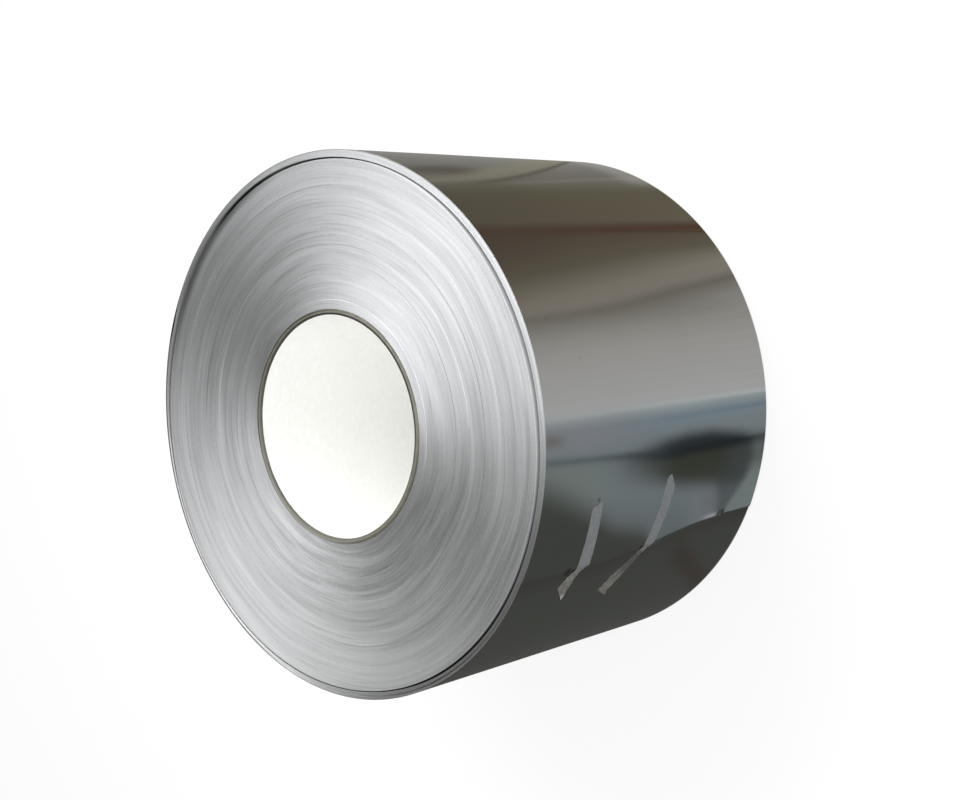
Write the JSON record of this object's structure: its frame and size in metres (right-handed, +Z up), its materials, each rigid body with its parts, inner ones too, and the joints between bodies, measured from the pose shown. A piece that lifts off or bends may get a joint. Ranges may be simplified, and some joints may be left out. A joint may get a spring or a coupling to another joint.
{
  "type": "steel coil",
  "caption": "Coil of bright steel strip wound on a fibre core tube, standing on one end, with its loose outer turns and taped free end.",
  "frame": {"origin": "on the floor, on the winding axis", "axes": "+Z up along the winding axis, from the end it stands on to the end with the loose turns standing out, -Y the side with the strip's free end"},
  "size_m": [1.2383, 1.2387, 0.8349],
  "materials": {
    "bright_steel": "bright cold-rolled strip",
    "core_board": "spiral-wound fibre board",
    "tape": "clear packing tape, greyed"
  },
  "bodies": {
    "root": {"steel_coil": "bright_steel", "core_tube": "core_board", "tail_tape_1": "tape", "tail_tape_2": "tape"}
  },
  "joints": []
}
